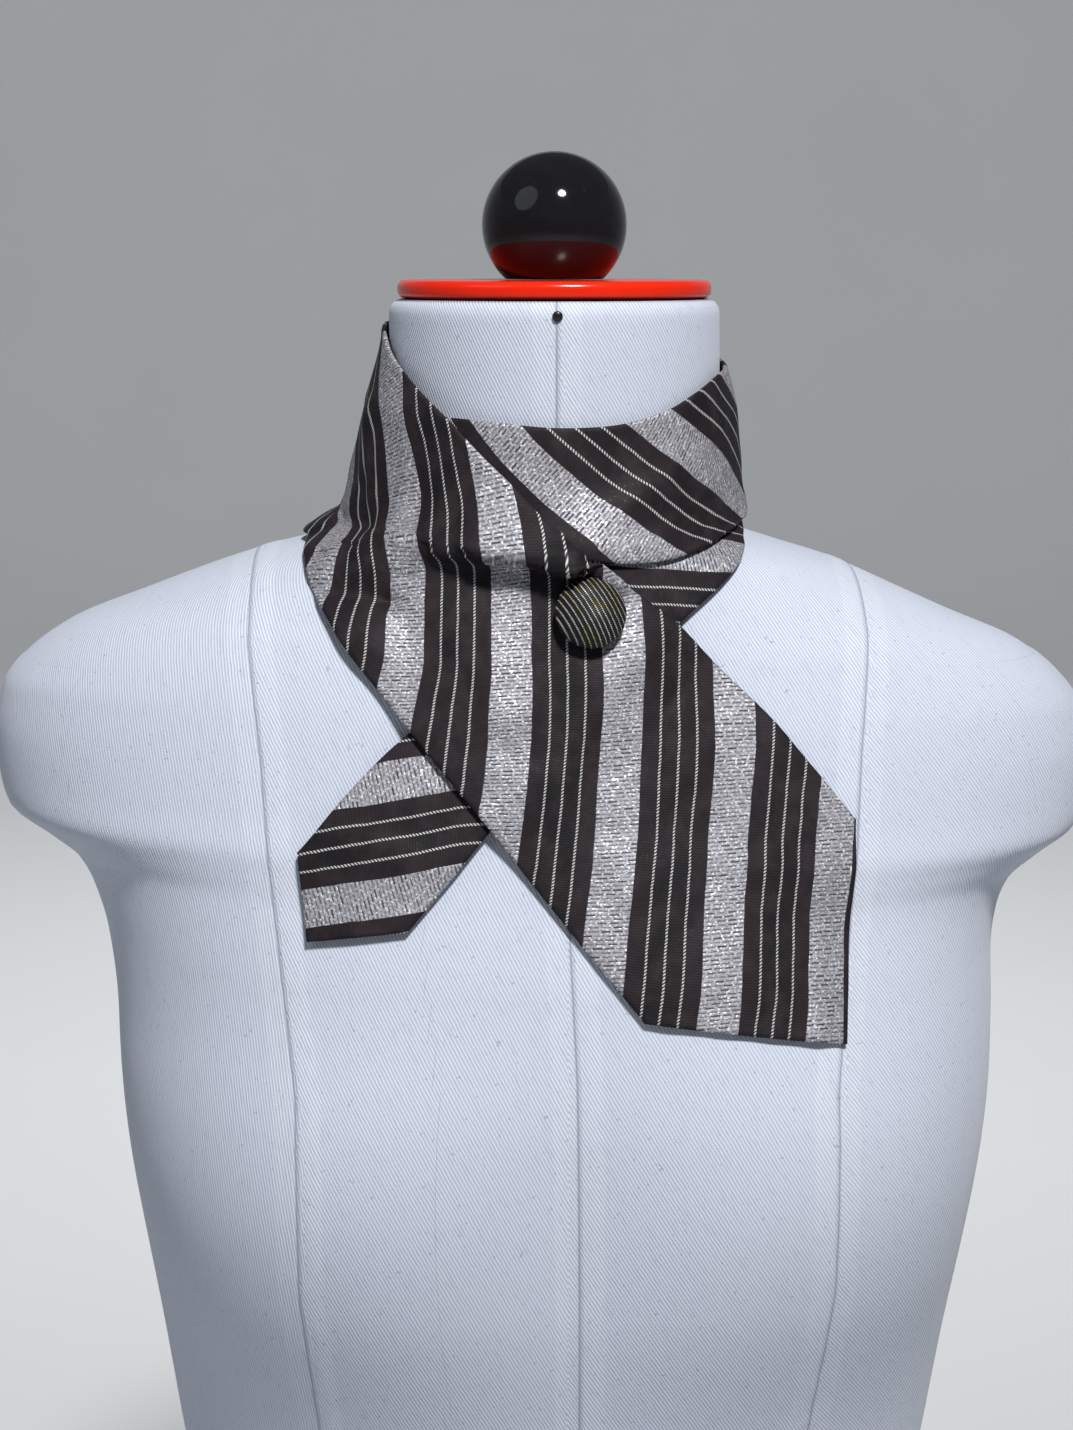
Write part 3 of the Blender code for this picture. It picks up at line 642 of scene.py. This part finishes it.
class Stretch:
    """One stretch of the tie as a grid on the rest surface, lifted over the layers below it. A
    table of rows holds azimuth and drop of its top edge, then of its bottom edge. The rows in
    front were worked out from the photo by other programs and then rounded to halves."""

    def __init__(self, rows, pointed, under, folds, seed, swell):
        edges = np.array(rows, float)
        edges[:, ::2] = np.radians(edges[:, ::2])
        top, bottom = rest_point(*edges[:, :2].T), rest_point(*edges[:, 2:].T)
        middle = rest_point(*(edges[:, :2] + edges[:, 2:]).T / 2)
        knots = np.concatenate(((0,), np.cumsum(np.linalg.norm(np.diff(middle, axis=0), axis=1))))
        length, tip_half = knots[-1], np.linalg.norm(top[-1] - bottom[-1]) / 2
        mean_width = np.linalg.norm(top - bottom, axis=1).mean()
        along = edged_steps(length, False, pointed)
        share = edged_steps(mean_width, True, True) / mean_width
        self.along, self.share = np.meshgrid(along, share, indexing="ij")
        from_end = length - self.along
        if pointed:
            still = np.clip(1 - from_end / (2 * tip_half), 0, 1)
            self.along = self.along - still * POINT * tip_half * np.abs(2 * self.share - 1)
        azimuth, drop, width = place_across(spline(knots, edges, self.along), self.share)
        self.across = (self.share - 0.5) * width
        beside = np.minimum(self.share, 1 - self.share) * width
        before_end = from_end * (math.sqrt(0.5) if pointed else FOLDED_ROUND / CUT_ROUND)
        after_start = self.along * FOLDED_ROUND / CUT_ROUND
        self.inset = np.minimum(np.minimum(beside, before_end), after_start)
        self.inset[:, 0] = self.inset[:, -1] = self.inset[0] = self.inset[-1] = 0
        self.resting, self.normal = rest_point(azimuth, drop), rest_normal(azimuth, drop)
        must = np.full(azimuth.shape, REST_GAP)
        cover = must.copy()
        for tree, lower_lift in under:
            for index in np.ndindex(azimuth.shape):
                _, nearest, distance = tree.find(self.resting[index])
                on_top = lower_lift[nearest] + WALL + LAYER_GAP
                near = 1 - smoothstep(COVER_NEAR, COVER_FAR, distance)
                must[index] = max(must[index], on_top if distance < COVER_NEAR else REST_GAP)
                cover[index] = max(cover[index], REST_GAP + near * (on_top - REST_GAP))
        for _ in range(4):
            cover = np.maximum(soften(cover, 2.4, 2.0), must)
        cover = soften(cover, 1.2, 1.0)
        self.lift = cover + fold_lift(azimuth, drop, folds)
        high_folds = [fold for fold in folds if fold[4] > FOLD_SAGS]
        self.sag = FOLD_SAG * fold_lift(azimuth, drop, high_folds)[..., None] * down_slope(azimuth, drop)
        self.lift += np.abs(waves(self.along, self.across, seed, swell)) * smoothstep(0, 6, beside)
        self.length = length

    def layer(self, first=0.0, last=0.0):
        """What a layer above needs to know of this one, without a length at either end."""
        kept = (self.along >= first) & (self.along <= self.length - last)
        points, lifts = self.resting[kept], self.lift[kept]
        tree = KDTree(len(points))
        for index, point in enumerate(points):
            tree.insert(point, index)
        tree.balance()
        return tree, lifts

    def sheet(self, name, phase, drift, mirrored):
        """A middle surface with the attributes that its wall and stripes need."""
        middle = self.resting + self.normal * (self.lift + WALL / 2)[..., None] + self.sag
        normals = grid_normals(middle)
        turned_in = (normals * self.normal).sum(axis=-1, keepdims=True) < 0
        normals = np.where(turned_in, -normals, normals)
        rows, columns = self.along.shape
        faces = [tuple(reversed(face)) for face in grid_faces(rows, columns)]
        piece = add_mesh(name, middle, faces)
        first = piece.data.polygons[len(faces) // 2]
        if Vector(normals.reshape(-1, 3)[first.vertices[0]]).dot(first.normal) < 0:
            piece.data.flip_normals()
        inset = piece.data.attributes.new("inset", "FLOAT", "POINT")
        inset.data.foreach_set("value", (self.inset * MM).reshape(-1))
        out = piece.data.attributes.new("out", "FLOAT_VECTOR", "POINT")
        out.data.foreach_set("vector", normals.reshape(-1))
        side = self.across if mirrored else -self.across
        over, down = (self.along + side) * math.sqrt(0.5), (self.along - side) * math.sqrt(0.5)
        wander = waves(self.along, self.across, 7, ((38.0, 0.15), (19.0, 0.08)))
        places = np.stack((over - phase - stripe_drift(drift, over, down) + wander, down), axis=-1)
        corners = np.empty(len(piece.data.loops), int)
        piece.data.loops.foreach_get("vertex_index", corners)
        uv = piece.data.uv_layers.new(name="stripes")
        uv.data.foreach_set("uv", (places.reshape(-1, 2)[corners] * MM).reshape(-1))
        return piece


def tie_wall_tree():
    """Raises a middle surface to a closed wall whose edges are rounded by their inset."""
    tree = bpy.data.node_groups.new("tie wall", "GeometryNodeTree")
    tree.interface.new_socket("Geometry", in_out="OUTPUT", socket_type="NodeSocketGeometry")
    for name, kind in (
        ("Geometry", "NodeSocketGeometry"), ("Wall", "NodeSocketFloat"),
        ("Edge Round", "NodeSocketFloat"), ("Finish", "NodeSocketMaterial"),
    ):
        tree.interface.new_socket(name, in_out="INPUT", socket_type=kind)

    def add(kind, settings=None, sockets=None, output=0):
        made = tree.nodes.new(kind)
        for key, value in (settings or {}).items():
            setattr(made, key, value)
        for key, value in (sockets or {}).items():
            if isinstance(value, bpy.types.NodeSocket):
                tree.links.new(value, made.inputs[key])
            else:
                made.inputs[key].default_value = value
        return made.outputs[output]

    def maths(operation, *values):
        return add("ShaderNodeMath", {"operation": operation}, dict(enumerate(values)))

    given = add("NodeGroupInput").node.outputs
    inset = add("GeometryNodeInputNamedAttribute", {"data_type": "FLOAT"}, {"Name": "inset"})
    outward = add("GeometryNodeInputNamedAttribute", {"data_type": "FLOAT_VECTOR"}, {"Name": "out"})
    left = maths("SUBTRACT", 1.0, maths("MINIMUM", maths("DIVIDE", inset, given["Edge Round"]), 1.0))
    rise = maths("SQRT", maths("SUBTRACT", 1.0, maths("MULTIPLY", left, left)))
    half = maths("MULTIPLY", maths("MULTIPLY", rise, given["Wall"]), 0.5)
    moved = []
    for sign in (1.0, -1.0):
        scale = maths("MULTIPLY", half, sign)
        offset = add("ShaderNodeVectorMath", {"operation": "SCALE"}, {0: outward, "Scale": scale})
        moved.append(add("GeometryNodeSetPosition", {}, {"Geometry": given["Geometry"], "Offset": offset}))
    inner = add("GeometryNodeFlipFaces", {}, {"Mesh": moved[1]})
    both = tree.nodes.new("GeometryNodeJoinGeometry")
    for side in (moved[0], inner):
        tree.links.new(side, both.inputs[0])
    closed = add("GeometryNodeMergeByDistance", {}, {"Geometry": both.outputs[0], "Distance": 0.004 * MM})
    real = add("GeometryNodeRealizeInstances", {}, {"Geometry": closed})
    done = add("GeometryNodeSetMaterial", {}, {"Geometry": real, "Material": given["Finish"]})
    tree.links.new(done, tree.nodes.new("NodeGroupOutput").inputs["Geometry"])
    return tree


def build_wall(piece, tree, inputs):
    """Runs a tree on a piece and leaves the result as its plain mesh."""
    modifier = piece.modifiers.new("wall", "NODES")
    modifier.node_group = tree
    for item in tree.interface.items_tree:
        if item.in_out == "INPUT" and item.name in inputs:
            modifier[item.identifier] = inputs[item.name]
    bpy.context.view_layer.update()
    seen = bpy.context.evaluated_depsgraph_get()
    mesh = bpy.data.meshes.new_from_object(
        piece.evaluated_get(seen), preserve_all_data_layers=True, depsgraph=seen
    )
    piece.modifiers.clear()
    rough = piece.data
    piece.data = mesh
    bpy.data.meshes.remove(rough)
    mesh.name = piece.name
    mesh.shade_smooth()
    return piece


def tie_finish():
    """Woven bias stripes: dark satin ones with silver cords between them, and bands of lurex with painted
    glints.
    """
    tie = Finish("striped tie silk", {"Specular IOR Level": 0.14})
    weave = tie.node("ShaderNodeUVMap", {"uv_map": "stripes"}, {})
    raw_s, raw_t, _ = tie.split(weave)
    wander = tie.noise(tie.scaled(weave, (260.0, 260.0, 0.0)), 1.0, 1.0) - 0.5
    s, t = raw_s / MM + wander * 0.35, raw_t / MM
    place = s.wrapped(STRIPE_REPEAT)
    lurex = place.ramp(DARK_WIDTH - 0.15, DARK_WIDTH + 0.15)
    lurex = lurex * place.ramp(STRIPE_REPEAT - 0.15, STRIPE_REPEAT, 1.0, 0.0)
    corded = place.ramp(CORD_STEP * 0.6, CORD_STEP * 0.61)
    corded = corded * place.ramp(CORD_STEP * 3.4, CORD_STEP * 3.41, 1.0, 0.0)
    cord = ((place + CORD_STEP / 2).wrapped(CORD_STEP) - CORD_STEP / 2).within(0.4, 0.18) * corded

    row_at = t / DASH_ROW + s * 0.12
    row, in_row = row_at.floor(), row_at.wrapped(1.0) - 0.5
    dash_at = s / DASH_LENGTH + tie.chance(row, 3.0)
    dash = dash_at.floor()
    gap = (dash_at.wrapped(1.0) - 0.5).within(0.4, 0.12) * in_row.within(0.21, 0.2)
    luck, more_luck = tie.chance(dash, row), tie.chance((s / 0.55).floor() + 17.0, (t / 0.45).floor() + 5.0)
    ground = tie.noise(tie.scaled(weave, (1300.0, 1300.0, 0.0)), 1.0, 2.0, 0.6)
    cloudy = tie.noise(tie.scaled(weave, (110.0, 110.0, 0.0)), 1.0, 3.0, 0.6)
    # Painted highlights: random lurex dashes are painted near white as glints of sparkle.
    painted_glint = (1 - gap) * more_luck.ramp(0.84, 0.98)
    dull = gap * (0.35 + 0.6 * luck)
    grey = tie.mix(ground.ramp(0.3, 0.7), (0.20, 0.197, 0.225), (0.50, 0.495, 0.56))
    grey = tie.mix(cloudy.ramp(0.4, 0.75) * 0.35, grey, (0.21, 0.207, 0.235))
    grey = tie.mix(dull, grey, (0.028, 0.027, 0.032))
    grey = tie.mix(painted_glint * 0.8, grey, (1.0, 0.99, 0.97))

    twist = ((s * 0.8 + t) * (math.tau / CORD_TWIST)).sine().ramp(-0.5, 0.6)
    silver = tie.mix(twist, (0.045, 0.045, 0.045), (0.56, 0.56, 0.555))

    rib = ((t / SATIN_RIB).wrapped(1.0) - 0.5).size() * 2.0
    inner = (place - CORD_STEP * 2).within(CORD_STEP, 0.3)
    satin = tie.mix(inner, (0.0155, 0.0108, 0.0142), (0.0105, 0.0092, 0.0125))
    # Lighter cloudy patches on the satin: partly random tone of the weave, partly painted sheen where
    # wrinkles catch the light.
    satin = tie.mix(cloudy.ramp(0.38, 0.7) * 0.55, satin, (0.038, 0.029, 0.035))
    satin = tie.mix(rib * 0.35, satin, (0.006, 0.005, 0.006))
    satin = tie.mix(ground.ramp(0.55, 0.8) * 0.25, satin, (0.05, 0.045, 0.05))

    colour = tie.mix(lurex, satin, grey)
    colour = tie.mix(cord, colour, silver)
    metal = lurex * (0.4 - dull * 0.35) + cord * 0.2
    rough = 0.56 + rib * 0.06 - lurex * 0.06 + ground * 0.1 - painted_glint * 0.2
    height = lurex * (0.8 - dull * 0.8 + ground * 0.3) + cord * (0.9 + twist * 0.9) - rib * 0.3 * (1 - lurex)
    return tie.feed(
        Base_Color=colour, Metallic=metal, Roughness=rough, Normal=tie.bump(height, 0.16 * MM, 0.7)
    )


tie_wall, tie_silk = tie_wall_tree(), tie_finish()


def hang(stretch, name, replaced, phase, drift, mirrored):
    piece = stretch.sheet(name, phase, drift, mirrored)
    build_wall(piece, tie_wall, {"Wall": WALL * MM, "Edge Round": FOLDED_ROUND * MM, "Finish": tie_silk})
    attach(piece, "root")
    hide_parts(replaced)
    return piece


# Inner turn
# The stretch that lies against the neck from the front, under everything else, round the left
# side and the back. Little of it shows.
INNER_TURN_ROWS = (
    (-50.5, 36.5, -50.5, 72),
    (-90, 34, -90, 70),
    (-135, 31, -135, 67),
    (-180, 29, -180, 66),
    (-239, 31, -239, 68),
)
inner = Stretch(INNER_TURN_ROWS, False, (), (), 11, ((46.0, 0.35),))
inner_turn = hang(inner, "inner_turn_silk", "inner_turn", 0.0, ((0,), (0, 0), (1, 0)), True)


# Narrow end
# The tail of the tie. It comes over the right shoulder, crosses under the wide end and lies on the
# chest with its right-angled tip at the left.
NARROW_END_ROWS = (
    (120.5, 31.5, 120.5, 68.5),
    (103, 33, 105, 69.5),
    (85, 36, 88, 72.5),
    (67.5, 40.5, 72, 77),
    (50.5, 47, 59.5, 80.5),
    (35, 54.5, 50, 85),
    (20.5, 65, 37, 95),
    (8, 77, 26.5, 104.5),
    (-3, 89.5, 17.5, 114),
    (-12, 102.5, 9, 125.5),
    (-20, 115.5, 0.5, 138.5),
    (-27, 128.5, -7.5, 151.5),
    (-33.5, 140.5, -14.5, 165),
    (-38, 152.5, -19.5, 177.5),
    (-42.5, 169.5, -25, 192.5),
    (-48, 187, -30.5, 209.5),
)
NARROW_END_FOLDS = ((-46, 158, -26, 172, 0.8, 5.0, 6.0), (88, 46, 100, 62, 0.8, 6.0, 6.0))
tail = Stretch(NARROW_END_ROWS, True, (), NARROW_END_FOLDS, 23, ((52.0, 0.45), (15.0, 0.1)))
NARROW_END_DRIFT = ((0,), (85, 1), (140, -2), (170, 1))
narrow_end = hang(tail, "narrow_end_silk", "narrow_end", 3.2, NARROW_END_DRIFT, True)


# Outer turn
# The second turn, over the inner one. It starts under the wide end, shows across the front and
# the right side, and meets the wide end's own stretch behind the neck.
OUTER_TURN_ROWS = (
    (-50, 36.5, -50, 72),
    (-24, 38, -24, 76),
    (0, 40, -2, 80.5),
    (19, 39, 14, 83.5),
    (36, 35, 30, 83.5),
    (50, 30, 45, 80.5),
    (66, 25, 62, 76.5),
    (90, 22, 88, 72),
    (112, 18, 111, 71),
    (135, 12, 135, 71.5),
    (180, 9, 180, 73),
    (228.5, 8, 228.5, 75),
)
OUTER_TURN_FOLDS = (
    (14, 66, 36, 56, 0.9, 3.5, 4.5),
    (40, 40, 50, 68, 1.0, 5.0, 5.0),
    (96, 30, 112, 58, 1.2, 7.0, 7.0),
    (150, 22, 172, 58, 1.1, 7.0, 6.0),
    (196, 26, 214, 62, 0.9, 6.0, 8.0),
)
outer = Stretch(
    OUTER_TURN_ROWS, False, (inner.layer(first=SEAM_MARGIN), tail.layer()), OUTER_TURN_FOLDS, 31,
    ((55.0, 0.4), (15.0, 0.1)),
)
OUTER_TURN_DRIFT = ((0,), (20, -3), (40, -1), (60, 1), (110, 2), (200, 8))
outer_turn = hang(outer, "outer_turn_silk", "outer_turn", 9.4, OUTER_TURN_DRIFT, False)


# Wide end
# The blade of the tie. It comes round the left of the neck, is drawn in by the button so that it
# rolls above it, and hangs over the chest to its right-angled tip.
WIDE_END_ROWS = (
    (-131, 8, -131, 75),
    (-110, 7.5, -115, 77.5),
    (-90, 9, -102, 79.5),
    (-72, 17, -88, 80),
    (-54, 26, -76, 80.5),
    (-37, 36.5, -64, 85),
    (-22, 50.5, -53, 97),
    (-8.5, 63.5, -44, 111),
    (3, 76.5, -36, 124),
    (15, 89.5, -28, 138.5),
    (28, 103, -19, 155),
    (35, 115.5, -11.5, 169),
    (41.5, 130.5, -4, 184.5),
    (45.5, 145, 3, 200),
    (50, 164.5, 12, 222),
    (58.5, 202.5, 21, 260),
)
WIDE_END_FOLDS = (
    (-50, 80, -41, 78.5, 3.1, 9.0, 6.0),
    (-41, 78.5, -31, 77.5, 4.2, 11.0, 5.0),
    (-31, 77.5, -21, 77, 5.7, 13.0, 4.2),
    (-21, 77, -9, 77, 7.4, 13.0, 3.8),
    (-9, 77, 1, 80.5, 7.6, 8.0, 3.4),
    (1, 80.5, 13, 90, 2.8, 4.0, 2.8),
    (-116, 77, -80, 77.3, 2.0, 3.5, 3.0),
    (-56, 84, -44, 86, 2.2, 8.0, 4.0),
    (-60, 92, -40, 95, -1.6, 3.0, 2.6),
    (-41, 94.5, -39, 97, -1.6, 2.0, 2.0),
    (-52, 103, -42, 110, 1.4, 7.0, 6.0),
    (-66, 62, -52, 84, -1.8, 5.0, 4.0),
    (-74, 40, -62, 66, 1.8, 7.0, 7.0),
    (-44, 46, -40, 66, -1.2, 6.0, 6.0),
    (-30, 90, -12, 92, -0.9, 5.0, 5.0),
    (-24, 96, -12, 128, 1.1, 8.0, 8.0),
    (-6, 100, -3, 140, -0.9, 6.0, 6.0),
    (18, 112, 26, 150, 0.9, 9.0, 9.0),
    (-112, 30, -100, 60, 1.2, 8.0, 8.0),
)
wide = Stretch(
    WIDE_END_ROWS, True, (inner.layer(), tail.layer(), outer.layer(last=SEAM_MARGIN)), WIDE_END_FOLDS, 47,
    ((60.0, 0.45), (33.0, 0.16), (15.0, 0.14)),
)
WIDE_END_DRIFT = (
    (40, 60, 80, 105, 140, 190, 240),
    (10, -10, -10, -10, -10, -10, -10, -10),
    (40, -5, -5, -7, -11, -9, -8, -8),
    (58, -4, -3, -3, -6, -6, -5, -5),
    (72, 2, 0, 2, 0, -3, -4, -4),
    (88, 10, 7, 3, 1, -1, -2, -2),
    (118, 10, 9, 7, 3, -1, -1, -1),
    (150, 6, 6, 5, 3, -1, -1, -1),
    (190, 1, 1, 1, 0, -1, -2, -2),
    (240, -4, -4, -4, -4, -4, -3, -2),
)
wide_end = hang(wide, "wide_end_silk", "wide_end", 8.0, WIDE_END_DRIFT, False)


# Button
# A 23 mm dome button covered in a scrap of finer striped silk, gathered under its metal back. It
# is sewn through the layers of the tie and closes the scarf.
BUTTON_RADIUS, BUTTON_RISE, BUTTON_RIM = 11.5, 6.0, 1.6
SHANK_RADIUS, SHANK_HEIGHT, SHANK_GAP = 4.0, 2.0, 0.5
BUTTON_AZIMUTH, BUTTON_DROP = math.radians(5.8), 99.5
BUTTON_STRIPE, BUTTON_RIB = 1.62, 0.62


def add_button():
    azimuth, drop = np.array(BUTTON_AZIMUTH), np.array(BUTTON_DROP)
    outward, foot = rest_normal(azimuth, drop), rest_point(azimuth, drop)
    cloth = wide.resting + wide.normal * wide.lift[..., None]
    offsets = (cloth - foot) @ outward
    aside = np.linalg.norm(cloth - foot - offsets[..., None] * outward, axis=-1)
    height = offsets[aside < SHANK_RADIUS + 2].max() + WALL + SHANK_GAP
    dome = (BUTTON_RADIUS**2 + BUTTON_RISE**2) / (2 * BUTTON_RISE)
    start = math.degrees(math.asin((dome - BUTTON_RISE) / dome))
    rim = SHANK_HEIGHT + BUTTON_RIM
    profile = [(0, 0), (SHANK_RADIUS * 0.7, 0), (SHANK_RADIUS, 0.3), (SHANK_RADIUS, SHANK_HEIGHT - 0.2)]
    profile += [(SHANK_RADIUS + 0.3, SHANK_HEIGHT), (BUTTON_RADIUS - 2.5, SHANK_HEIGHT)]
    profile += arc(BUTTON_RADIUS - 1.0, SHANK_HEIGHT + 1.0, 1.0, -80, 20, 7)
    profile += arc(0, rim - (dome - BUTTON_RISE), dome, start + 2, 89, 30)
    profile += [(0, rim + BUTTON_RISE)]
    button = turned("button_covered", profile, 144)
    chance = np.random.default_rng(5)
    beats = [(count, chance.uniform(0, math.tau), chance.uniform(0.4, 1.0)) for count in (17, 23, 31, 9)]
    for corner in button.data.vertices:
        x, y, z = corner.co / MM
        reach = math.hypot(x, y)
        angle = math.atan2(y, x)
        ripple = sum(size * math.sin(count * angle + turn) for count, turn, size in beats) / len(beats)
        pull = max(0.0, min(1.0, (reach - 8.0) / 3.5)) * (1 if z < rim + 2.2 else 0.35)
        corner.co.x -= x / max(reach, 1e-6) * (0.14 + 0.16 * ripple) * pull * MM
        corner.co.y -= y / max(reach, 1e-6) * (0.14 + 0.16 * ripple) * pull * MM
    uv = button.data.uv_layers.new(name="button")
    for loop in button.data.loops:
        x, y, z = button.data.vertices[loop.vertex_index].co
        uv.data[loop.index].uv = (x, y)
    turn = Vector(outward).to_track_quat("Z", "Y").to_matrix().to_4x4()
    button.data.transform(Matrix.Translation(Vector(foot + height * outward) * MM) @ turn)
    return button


def button_finish():
    silk = Finish("button silk", {"Specular IOR Level": 0.25})
    weave = silk.node("ShaderNodeUVMap", {"uv_map": "button"}, {})
    x, y, _ = silk.split(weave)
    wander = silk.noise(silk.scaled(weave, (420.0, 420.0, 0.0)), 1.0, 1.0) - 0.5
    slope = math.radians(62)
    s = (x * math.sin(slope) + y * math.cos(slope)) / MM + wander * 0.3
    t = (y * math.sin(slope) - x * math.cos(slope)) / MM
    band = (s / BUTTON_STRIPE).floor()
    line = ((s / BUTTON_STRIPE).wrapped(1.0) - 0.5).within(0.12, 0.1)
    in_rib = (t / BUTTON_RIB).wrapped(1.0) - 0.5
    bead = in_rib.within(0.3, 0.26)
    luck = silk.chance((t / BUTTON_RIB).floor(), band)
    gold = silk.chance(band, (t / 3.1).floor()).ramp(0.68, 0.8)
    thread = silk.mix(gold, (0.86, 0.86, 0.82), (0.84, 0.7, 0.3))
    rib = in_rib.size() * 2.0
    dark = silk.mix(rib * 0.6, (0.012, 0.012, 0.012), (0.004, 0.004, 0.004))
    colour = silk.mix(line * bead * (0.6 + 0.4 * luck), dark, thread)
    height = line * (0.6 + bead) - rib * 0.5
    return silk.feed(
        Base_Color=colour, Metallic=line * bead * 0.5, Roughness=0.42 + rib * 0.1,
        Normal=silk.bump(height, 0.18 * MM, 0.9),
    )


button = add_button()
give_finish(button, button_finish())
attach(button, "root")
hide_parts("button")


# Studio
# A round pale sweep that is floor and backdrop in one, three soft lights and the camera. The key
# light stands high in front and a little to the right, where the highlights on the ball put it.
SWEEP_RADIUS, SWEEP_BEND, SWEEP_TOP, SWEEP_SIDES = 5200.0, 1500.0, 3400.0, 96


def sweep_finish():
    paper = Finish("pale paper", {"Specular IOR Level": 0.1})
    grain = paper.noise(paper.place(), 3.0, 2.0)
    colour = paper.mix(grain, (0.60, 0.615, 0.63), (0.63, 0.645, 0.66))
    return paper.feed(Base_Color=colour, Roughness=0.9 + grain * 0.05)


sweep_rows = [(r, 0.0) for r in np.linspace(60, SWEEP_RADIUS - SWEEP_BEND, 12)]
sweep_rows += arc(SWEEP_RADIUS - SWEEP_BEND, SWEEP_BEND, SWEEP_BEND, -87, 0, 14) + [(SWEEP_RADIUS, SWEEP_TOP)]
sweep_angles = np.linspace(0, math.tau, SWEEP_SIDES, endpoint=False)
sweep_points = [(r * math.cos(a), r * math.sin(a), z) for r, z in sweep_rows for a in sweep_angles]
sweep_faces = [tuple(reversed(face)) for face in grid_faces(len(sweep_rows), SWEEP_SIDES, True)]
sweep_faces.append(tuple(range(SWEEP_SIDES)))
sweep = add_mesh("studio_sweep", sweep_points, sweep_faces)
give_finish(sweep, sweep_finish())

LIGHTS_AT = Vector((0, 0, 0.5))
KEY_FROM, KEY_AWAY, KEY_SIZE, KEY_WATTS = Vector((0.15, -0.60, 0.80)), 2.2, 0.34, 60.0
FILL_FROM, FILL_AWAY, FILL_SIZE, FILL_WATTS = Vector((-0.8, -0.5, 0.8)), 2.6, 1.6, 6.0
BACKDROP_FROM, BACKDROP_AT = Vector((0, 1.0, 2.0)), Vector((0, 3.2, 0.7))
BACKDROP_SIZE, BACKDROP_WATTS = 1.4, 48.0
AIR_STRENGTH = 0.08


def add_softbox(name, place, aim, size, watts, colour):
    lamp = bpy.data.lights.new(name, "AREA")
    lamp.shape, lamp.size, lamp.energy, lamp.color = "DISK", size, watts, colour
    holder = bpy.data.objects.new(name, lamp)
    holder.location = place
    holder.rotation_euler = (aim - place).to_track_quat("-Z", "Y").to_euler()
    bpy.context.scene.collection.objects.link(holder)


key_place = LIGHTS_AT + KEY_FROM.normalized() * KEY_AWAY
fill_place = LIGHTS_AT + FILL_FROM.normalized() * FILL_AWAY
add_softbox("key_light", key_place, LIGHTS_AT, KEY_SIZE, KEY_WATTS, (1.0, 0.985, 0.96))
add_softbox("fill_light", fill_place, LIGHTS_AT, FILL_SIZE, FILL_WATTS, (0.9, 0.95, 1.0))
add_softbox("backdrop_light", BACKDROP_FROM, BACKDROP_AT, BACKDROP_SIZE, BACKDROP_WATTS, (1.0, 1.0, 1.0))
sky = bpy.data.worlds.new("studio air")
sky.use_nodes = True
sky.node_tree.nodes["Background"].inputs["Color"].default_value = (0.86, 0.92, 1.0, 1.0)
sky.node_tree.nodes["Background"].inputs["Strength"].default_value = AIR_STRENGTH
bpy.context.scene.world = sky
bpy.context.scene.view_settings.view_transform = "Standard"

CAMERA_TURN, CAMERA_PITCH, CAMERA_LENS = math.radians(-2.0), math.radians(9.48), 70.0
camera_data = bpy.data.cameras.new("camera")
camera_data.lens, camera_data.sensor_width = CAMERA_LENS, 36.0
camera = bpy.data.objects.new("camera", camera_data)
camera_turn = Matrix.Rotation(CAMERA_TURN, 4, "Z")
camera.location = camera_turn @ Vector((-0.006, -0.95, 0.671))
camera_aim = camera_turn @ Vector((0, math.cos(CAMERA_PITCH), -math.sin(CAMERA_PITCH)))
camera.rotation_euler = camera_aim.to_track_quat("-Z", "Y").to_euler()
bpy.context.scene.collection.objects.link(camera)
bpy.context.scene.camera = camera
